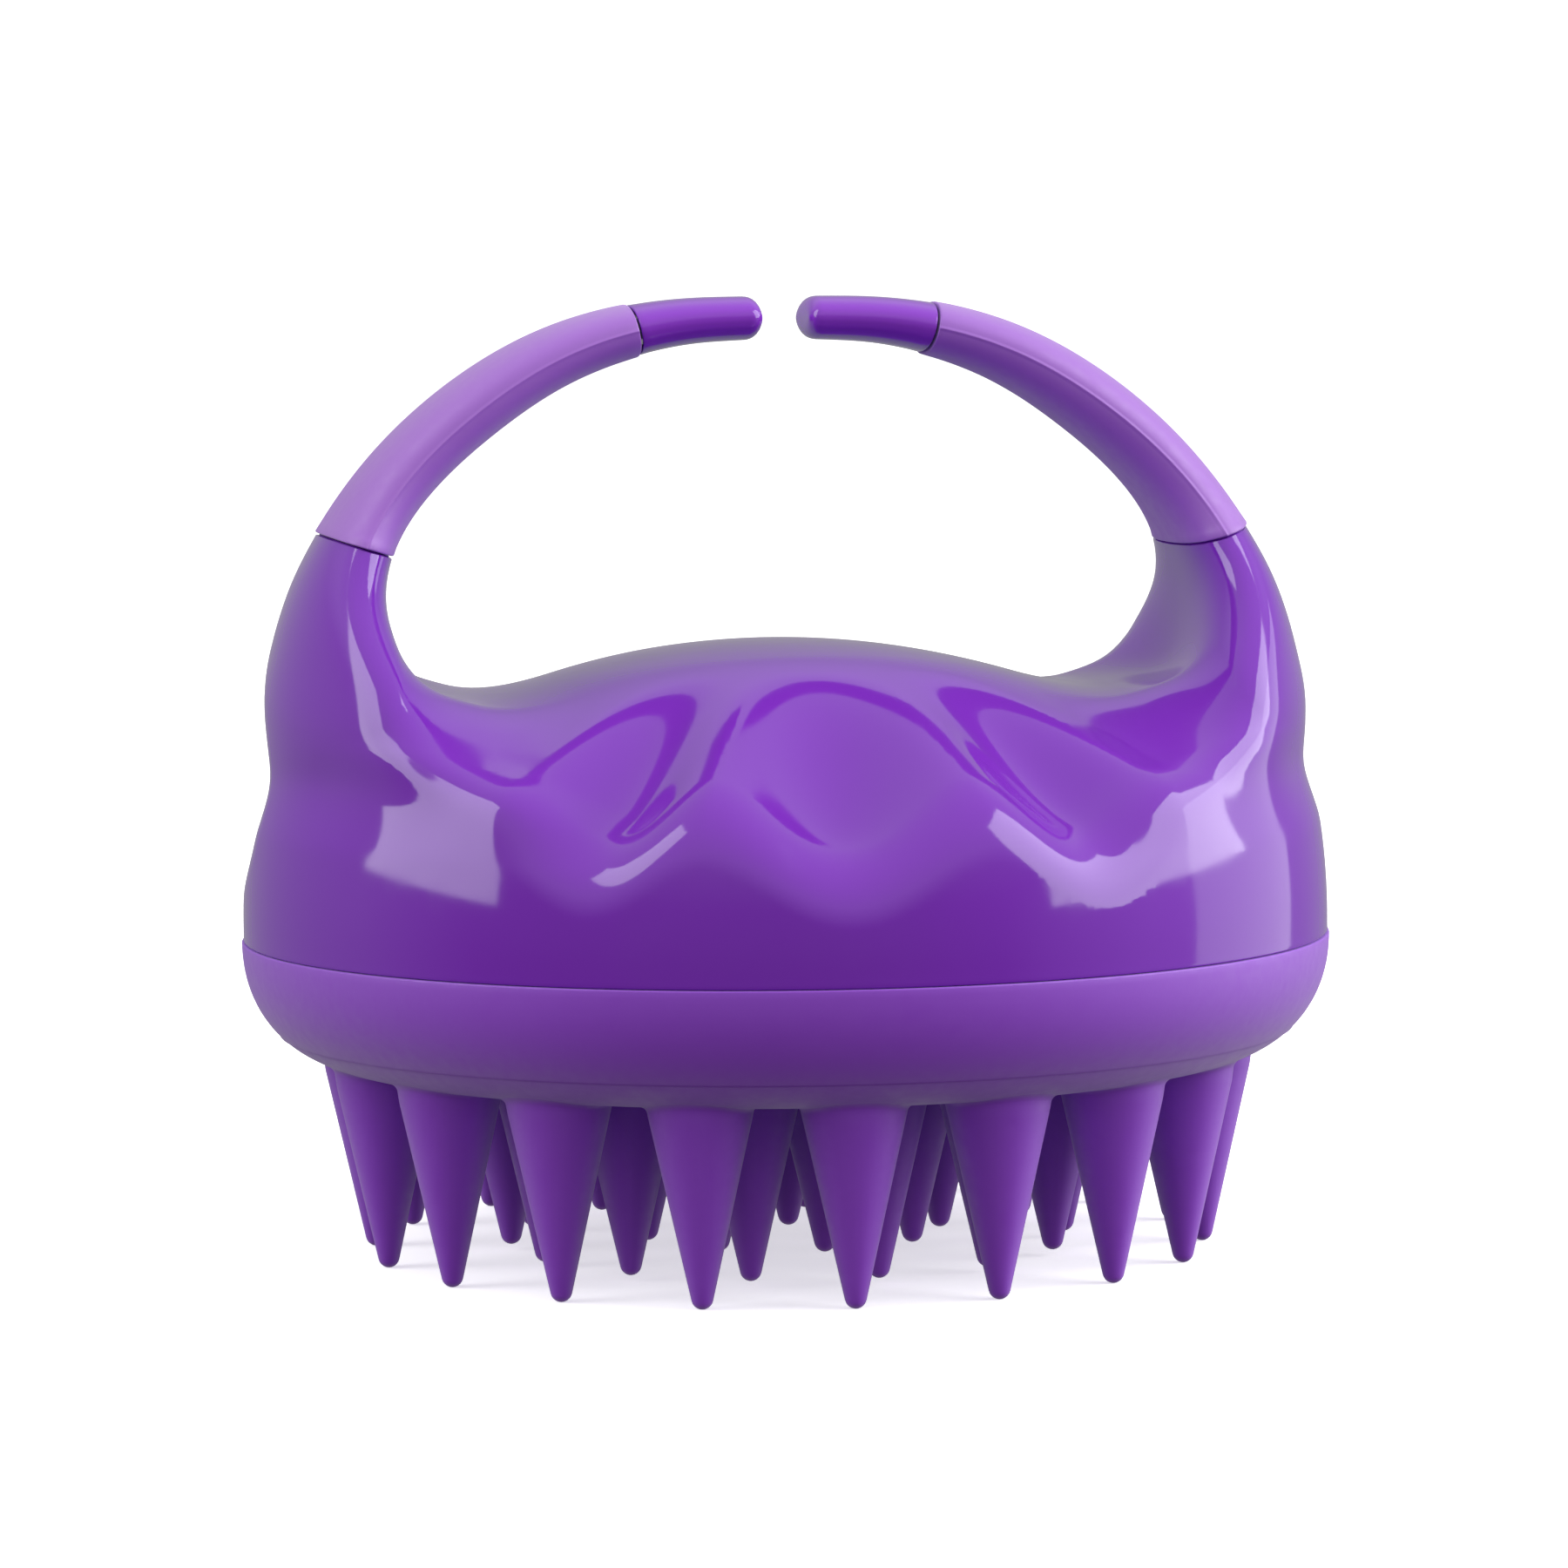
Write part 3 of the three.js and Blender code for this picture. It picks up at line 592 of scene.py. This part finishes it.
def round_start(place, seam):
    """Rings that open an arm piece at its cut end, from the flat outwards over a small round."""
    rings = []
    for sine, cosine in reversed(ROUND_STEPS):
        inset, shift = ROUND * (1 - cosine), GAP / 2 + ROUND * (1 - sine)
        rings.append(arm_ring(place, inset, shift, seam))
    return rings


def round_end(place, seam):
    """Rings that close an arm piece at its other end, over a small round onto the flat."""
    rings = []
    for sine, cosine in ROUND_STEPS:
        inset, shift = ROUND * (1 - cosine), -GAP / 2 - ROUND * (1 - sine)
        rings.append(arm_ring(place, inset, shift, seam))
    return rings


def sleeve_mesh():
    start, end = ARM_KNOTS[ROOT_JOINT], ARM_KNOTS[TIP_JOINT]
    rings = round_start(start, 1.0)
    rings += [arm_ring(p, seam=1.0)
              for p in np.linspace(start + END_CLEAR, end - END_CLEAR, SLEEVE_RINGS)]
    rings += round_end(end, 1.0)
    rings.append(slot_ring(end, -GAP / 2))
    rings += [slot_ring(p)
              for p in np.linspace(end - CHANNEL_CLEAR, start + CHANNEL_CLEAR, CHANNEL_RINGS)]
    rings.append(slot_ring(start, GAP / 2))
    points, faces = loft(rings, cap_start=False, cap_end=False)
    n, last = len(rings[0]), (len(rings) - 1) * len(rings[0])
    faces += [(last + j, j, (j + 1) % n, last + (j + 1) % n) for j in range(n)]
    return points, faces


def tip_mesh():
    start, end = ARM_KNOTS[TIP_JOINT], ARM_KNOTS[-1]
    pocket = start + POCKET_DEPTH
    rings = [slot_ring(p) for p in np.linspace(pocket, start + POCKET_CLEAR, POCKET_RINGS)]
    rings.append(slot_ring(start, GAP / 2))
    rings += round_start(start, 0.0)
    rings += [arm_ring(p) for p in np.linspace(start + END_CLEAR, end, TIP_RINGS)]
    _, _, thick, *_ = arm_frames(end)
    for turn in NOSE_TURNS:
        angle = math.radians(turn)
        inset = thick[0] * (1 - math.cos(angle) ** (2 / NOSE_POWER))
        rings.append(arm_ring(end, inset, NOSE_LENGTH * math.sin(angle) ** (2 / NOSE_POWER)))
    return loft(rings)


def bend_root(obj):
    """Bakes the sleeve's placement into its points; the frames it measures near the root are not used.
    """
    root = ARM_KNOTS[ROOT_JOINT]
    ends, *_ = arm_frames([root + ROUND, root + BEND_RUN])
    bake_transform(obj)


def add_arm(side, sleeve_material, tip_material):
    name = "left" if side < 0 else "right"
    for piece, (points, faces), material in (("sleeve", sleeve_mesh(), sleeve_material),
                                             ("tip", tip_mesh(), tip_material)):
        if side < 0:
            points, faces = mirror(points, faces)
        obj = new_object(f"{name}_{piece}_skin", points, faces, material)
        if piece == "sleeve":
            bend_root(obj)
        else:
            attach(obj, f"{name}_arm")
        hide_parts(f"{name}_arm_{piece}")


# ---------- the tine pad ----------

PAD_TOP = RIM_Z - RIM_GAP / 2
PAD_SIDES = 192
PAD_CORNER_STEPS = 30
PAD_FLOOR_RADII = (0.01, 20, 32, 35, 36.3, 36.8)  # rings of points on the flat underside
CENTRE_R = 0.01           # the rings start this far from the axis
POCKET_R = 44.2           # the hollow above the floor, where the carrier plate sits
FLOOR_TOP = PAD_FLOOR_Z + 2.6
TINE_SIDES = 28
FOOT = 0.45               # radius of the fillet round each tine's foot
FOOT_SHARES = (-0.4, 0, 0.02, 0.1, 0.24, 0.45, 0.75, 1.0, 1.5, 2.4)  # its rings, in fillet radii
FOOT_FADE = 1.6           # below the fillet, the rings turn level over this many radii
CONE_START, CONE_RINGS = 2.9, 9  # the cone's rings start this many fillet radii below the floor
TIP_BALL = 0.92           # radius of the round tip
TIP_START = 12            # degrees below the ball's widest ring, where the cone ends
TIP_TURNS = (28, 42, 56, 68, 79, 87)  # degrees of the ball's other rings
CONE_TIP_R, CONE_TIP_RISE = 0.9, 0.72  # the cone's radius at this height above the tip


def corner_height(radius):
    """Height of the pad's underside at a distance from its axis."""
    share = np.clip((radius - PAD_CORNER_R) / (BODY_R - PAD_CORNER_R), 0, 1)
    drop = (RIM_Z - PAD_FLOOR_Z) * (1 - share ** PAD_CORNER_POWER) ** (1 / PAD_CORNER_POWER)
    return RIM_Z - drop


def pad_outline():
    """Radius and height along the pad's section, from under its middle round to above it."""
    turn = np.linspace(0, 1, PAD_CORNER_STEPS) * math.pi / 2
    power = 2 / PAD_CORNER_POWER
    corner_r = PAD_CORNER_R + (BODY_R - PAD_CORNER_R) * np.sin(turn) ** power
    corner_z = RIM_Z - (RIM_Z - PAD_FLOOR_Z) * np.cos(turn) ** power
    keep = corner_z < PAD_TOP - ROUND
    outline = [(r, PAD_FLOOR_Z) for r in PAD_FLOOR_RADII]
    outline += list(zip(corner_r[keep], corner_z[keep]))
    outline += [(BODY_R - ROUND * (1 - c), PAD_TOP - ROUND * (1 - s)) for s, c in ROUND_STEPS]
    outline += [(POCKET_R, PAD_TOP), (POCKET_R, FLOOR_TOP), (CENTRE_R, FLOOR_TOP)]
    return outline


def tine_radius(z, tip):
    share = (z - tip - CONE_TIP_RISE) / (PAD_FLOOR_Z - tip - CONE_TIP_RISE)
    return CONE_TIP_R + (TINE_BASE_R - CONE_TIP_R) * share


def level_ring(x, y, radius, z, turn):
    """Points on a level circle."""
    across, along = x + radius * np.cos(turn), y + radius * np.sin(turn)
    return np.column_stack([across, along, np.full(len(turn), z)])


def foot_ring(x, y, share, tip, turn):
    """One ring of the fillet that joins a tine to the pad's underside."""
    depth = share * FOOT
    fillet = FOOT ** 2 - (FOOT - max(depth, 0)) ** 2
    flare = FOOT - math.sqrt(max(0, fillet)) if depth < FOOT else 0
    ring = level_ring(x, y, tine_radius(PAD_FLOOR_Z - depth, tip) + flare, 0, turn)
    hang = max(0.0, 1 - max(share - 1, 0) / FOOT_FADE)
    surface = PAD_FLOOR_Z + (corner_height(np.hypot(ring[:, 0], ring[:, 1])) - PAD_FLOOR_Z) * hang
    ring[:, 2] = surface - depth
    return ring


def tine_mesh(x, y, tip):
    turn = np.linspace(0, 2 * np.pi, TINE_SIDES, endpoint=False)
    rings = [foot_ring(x, y, share, tip, turn) for share in FOOT_SHARES]
    low = tip + TIP_BALL * (1 - math.sin(math.radians(TIP_START)))
    for z in np.linspace(PAD_FLOOR_Z - CONE_START * FOOT, low, CONE_RINGS):
        rings.append(level_ring(x, y, tine_radius(z, tip), z, turn))
    for angle in np.radians(TIP_TURNS):
        z = tip + TIP_BALL * (1 - math.sin(angle))
        rings.append(level_ring(x, y, TIP_BALL * math.cos(angle), z, turn))
    return loft(rings, cap_start=False)


def build_pad(material):
    turn = np.linspace(0, 2 * np.pi, PAD_SIDES, endpoint=False)
    rings = [level_ring(0, 0, r, z, turn) for r, z in pad_outline()]
    points, faces = loft(rings)
    points, faces = [points], [tuple(reversed(f)) for f in faces]
    count = len(points[0])
    for radius, number, first, tip in TINE_RINGS:
        for i in range(number):
            angle = (i + first) / number * 2 * math.pi
            spots, skins = tine_mesh(radius * math.sin(angle), -radius * math.cos(angle), tip)
            points.append(spots)
            faces += [tuple(v + count for v in f) for f in skins]
            count += len(spots)
    obj = new_object("tine_pad_skin", np.concatenate(points), faces, material)
    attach(obj, "comb")
    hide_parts("tine_pad")


# ---------- materials ----------

def new_material(name):
    """A new material with its nodes, its links and the inputs of its shader."""
    material = bpy.data.materials.new(name)
    material.use_nodes = True
    nodes, links = material.node_tree.nodes, material.node_tree.links
    return material, nodes, links, nodes["Principled BSDF"].inputs


def noise(nodes, links, scale, detail=2.0, roughness=0.5):
    place = nodes.new("ShaderNodeTexCoord")
    texture = nodes.new("ShaderNodeTexNoise")
    texture.inputs["Scale"].default_value = scale
    texture.inputs["Detail"].default_value = detail
    texture.inputs["Roughness"].default_value = roughness
    links.new(place.outputs["Object"], texture.inputs["Vector"])
    return texture.outputs["Fac"]


def ramp(nodes, links, source, low, high, start=0.3, end=0.7):
    """Maps a grey value onto a range of values."""
    spread = nodes.new("ShaderNodeMapRange")
    spread.inputs["From Min"].default_value = start
    spread.inputs["From Max"].default_value = end
    spread.inputs["To Min"].default_value = low
    spread.inputs["To Max"].default_value = high
    links.new(source, spread.inputs["Value"])
    return spread.outputs["Result"]


def tint(nodes, links, source, dark, light):
    mix = nodes.new("ShaderNodeMix")
    mix.data_type = "RGBA"
    mix.inputs["A"].default_value = (*dark, 1)
    mix.inputs["B"].default_value = (*light, 1)
    links.new(source, mix.inputs["Factor"])
    return mix.outputs["Result"]


def bump(nodes, links, height, strength, distance):
    node = nodes.new("ShaderNodeBump")
    node.inputs["Strength"].default_value = strength
    node.inputs["Distance"].default_value = distance
    links.new(height, node.inputs["Height"])
    return node.outputs["Normal"]


def gloss_plastic(name, dark, light):
    material, nodes, links, inputs = new_material(name)
    cloud = noise(nodes, links, 60)
    links.new(tint(nodes, links, cloud, dark, light), inputs["Base Color"])
    links.new(ramp(nodes, links, noise(nodes, links, 400, 3), 0.07, 0.11), inputs["Roughness"])
    inputs["IOR"].default_value = 1.6
    links.new(bump(nodes, links, noise(nodes, links, 90, 1), 0.08, 0.0002), inputs["Normal"])
    return material


def soft_rubber(name, dark, light):
    material, nodes, links, inputs = new_material(name)
    cloud = noise(nodes, links, 45)
    links.new(tint(nodes, links, cloud, dark, light), inputs["Base Color"])
    links.new(ramp(nodes, links, noise(nodes, links, 900, 3), 0.46, 0.60), inputs["Roughness"])
    inputs["IOR"].default_value = 1.75
    inputs["Sheen Weight"].default_value = 0.25
    inputs["Sheen Roughness"].default_value = 0.5
    links.new(bump(nodes, links, noise(nodes, links, 4500, 2), 0.12, 0.00003), inputs["Normal"])
    return material


def inner_plastic():
    material, nodes, links, inputs = new_material("inner_plastic")
    cloud = noise(nodes, links, 70)
    colour = tint(nodes, links, cloud, (0.56, 0.55, 0.59), (0.62, 0.61, 0.65))
    links.new(colour, inputs["Base Color"])
    links.new(ramp(nodes, links, noise(nodes, links, 500, 3), 0.38, 0.5), inputs["Roughness"])
    return material


def screw_steel():
    material, nodes, links, inputs = new_material("zinc_steel")
    cloud = noise(nodes, links, 800)
    colour = tint(nodes, links, cloud, (0.45, 0.46, 0.48), (0.60, 0.61, 0.63))
    links.new(colour, inputs["Base Color"])
    links.new(ramp(nodes, links, noise(nodes, links, 1500, 3), 0.22, 0.36), inputs["Roughness"])
    inputs["Metallic"].default_value = 1
    return material


# Each purple wanders a little between two close colours.
gloss = gloss_plastic("gloss_purple", (0.186, 0.024, 0.450), (0.198, 0.028, 0.475))
# The tips get a lighter copy of the gloss purple: painted light, standing in for the light that falls on
# the tips.
tip_gloss_painted_light = gloss_plastic("tip_purple_painted_light", (0.240, 0.036, 0.540), (0.255, 0.040, 0.560))
soft = soft_rubber("soft_purple", (0.255, 0.036, 0.590), (0.275, 0.042, 0.620))
# The sleeves get a lighter, greyer copy of the soft purple: painted light and painted sheen, standing in
# for the light from above and the left that falls on them.
sleeve_soft_painted_light = soft_rubber("sleeve_purple_painted_light", (0.32, 0.105, 0.570), (0.34, 0.115, 0.590))
plain, steel = inner_plastic(), screw_steel()
by_slot = {"shell_gloss": gloss, "soft_pad": soft, "inner_plastic": plain, "screw_steel": steel}
for part in frame["record"]["subparts"]:
    data = frame["nodes"][part["node"]].data
    data.materials.clear()
    data.materials.append(by_slot[part["material_slot"]])

shell = build_shell(gloss)
rim_top = RIM_Z + RIM_GAP / 2 + ROUND + RIM_SLACK
exact_normals(shell, shell_field, lambda p: p[:, 2] < rim_top)
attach(shell, "comb")
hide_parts("grip_shell")
build_pad(soft)
for side in (-1, 1):
    add_arm(side, sleeve_soft_painted_light, tip_gloss_painted_light)


# ---------- floor, light and camera ----------

SHEET_FLAT, SHEET_BEND, SHEET_HEIGHT = 1.6, 0.6, 1.6  # metres
SHEET_SIDES = 96


def studio_sheet():
    """A pale floor that curves up into a pale wall far away on every side."""
    profile = [(0.001, 0.0), (0.3, 0.0), (SHEET_FLAT, 0.0)]
    profile += [(SHEET_FLAT + SHEET_BEND * math.sin(t), SHEET_BEND * (1 - math.cos(t)))
                for t in np.linspace(0.1, math.pi / 2, 14)]
    profile.append((SHEET_FLAT + SHEET_BEND, SHEET_HEIGHT))
    turn = np.linspace(0, 2 * np.pi, SHEET_SIDES, endpoint=False)
    points, faces = loft([level_ring(0, 0, r, z, turn) for r, z in profile], cap_end=False)
    material, nodes, links, inputs = new_material("pale_paper")
    cloud = noise(nodes, links, 3)
    colour = tint(nodes, links, cloud, (0.93, 0.93, 0.93), (0.95, 0.95, 0.95))
    links.new(colour, inputs["Base Color"])
    inputs["Roughness"].default_value = 0.9
    inputs["Emission Color"].default_value = (1, 1, 1, 1)
    inputs["Emission Strength"].default_value = 0.6
    obj = new_object("studio_sheet", points / MM, [tuple(reversed(f)) for f in faces], material)
    obj.visible_diffuse = obj.visible_glossy = obj.visible_shadow = False


def softbox(name, place, aim, size, radiance, glossy):
    light = bpy.data.lights.new(name, "AREA")
    light.shape = "RECTANGLE"
    light.size, light.size_y = size
    light.energy = radiance * math.pi * size[0] * size[1]
    obj = bpy.data.objects.new(name, light)
    obj.location = place
    obj.rotation_euler = (Vector(aim) - Vector(place)).to_track_quat("-Z", "Y").to_euler()
    obj.visible_camera = False
    obj.visible_glossy = glossy
    bpy.context.scene.collection.objects.link(obj)


def room_light():
    """The room around the comb: bright ceiling, paper behind, a window wall on the right, dim floor."""
    world = bpy.data.worlds.new("studio")
    world.use_nodes = True
    nodes, links = world.node_tree.nodes, world.node_tree.links
    place = nodes.new("ShaderNodeTexCoord")
    split = nodes.new("ShaderNodeSeparateXYZ")
    links.new(place.outputs["Generated"], split.inputs["Vector"])
    ceiling = ramp(nodes, links, split.outputs["Z"], 0.0, 0.55, 0.15, 0.6)
    paper = ramp(nodes, links, split.outputs["Y"], 0.0, 0.26, -0.25, 0.3)
    window = ramp(nodes, links, split.outputs["X"], 0.0, 0.30, 0.6, 0.95)
    floor = ramp(nodes, links, split.outputs["Z"], 0.06, 0.12, -0.25, 0.0)

    def combine(operation, first, second):
        node = nodes.new("ShaderNodeMath")
        node.operation = operation
        links.new(first, node.inputs[0])
        links.new(second, node.inputs[1])
        return node.outputs["Value"]

    wall = combine("MAXIMUM", paper, window)
    light = combine("ADD", combine("MAXIMUM", ceiling, wall), floor)
    shade = nodes["Background"]
    shade.inputs["Color"].default_value = (1, 1, 1, 1)
    links.new(light, shade.inputs["Strength"])
    bpy.context.scene.world = world


CAMERA_AZIMUTH = math.radians(8.66)  # the camera stands this far to the left of straight in front
CAMERA_TILT = math.radians(4.48)     # and looks down by this much
CAMERA_ROLL = -0.0101                # radians
CAMERA_DISTANCE = 0.5407             # metres
CAMERA_LENS, SENSOR = 141.6, 36
AIM_HEIGHT = 0.486                   # share of the comb's height


def add_camera():
    tall = cad_high[2] - cad_low[2]
    ahead = Vector((math.sin(CAMERA_AZIMUTH) * math.cos(CAMERA_TILT),
                    math.cos(CAMERA_AZIMUTH) * math.cos(CAMERA_TILT), -math.sin(CAMERA_TILT)))
    right = Vector((math.cos(CAMERA_AZIMUTH), -math.sin(CAMERA_AZIMUTH), 0))
    up = right.cross(ahead)
    place = up * tall * AIM_HEIGHT - ahead * CAMERA_DISTANCE
    turn = Matrix((right, up, -ahead)).transposed().to_4x4() @ Matrix.Rotation(CAMERA_ROLL, 4, "Z")
    data = bpy.data.cameras.new("camera")
    data.lens = CAMERA_LENS
    data.sensor_width = SENSOR
    obj = bpy.data.objects.new("camera", data)
    obj.matrix_world = Matrix.Translation(place) @ turn
    bpy.context.scene.collection.objects.link(obj)
    bpy.context.scene.camera = obj


# Name, place, aim, size in metres, radiance, and whether reflections show it.
SOFTBOXES = [
    ("left_box", (-0.80, -0.04, 0.74), (0, 0, 0.74), (0.52, 1.24), 2.9, True),
    ("right_box", (0.773, -0.207, 0.74), (0, 0, 0.74), (0.85, 1.24), 3.5, True),
    ("right_rim", (0.877, 0.202, 0.15), (0, 0, 0.10), (0.62, 0.7), 1.2, True),
    ("front_fill", (-0.25, -1.10, 0.15), (0, 0, 0.04), (1.4, 0.9), 0.75, False),
]

studio_sheet()
for light in SOFTBOXES:
    softbox(*light)
room_light()
add_camera()
bpy.context.scene.view_settings.view_transform = "Standard"
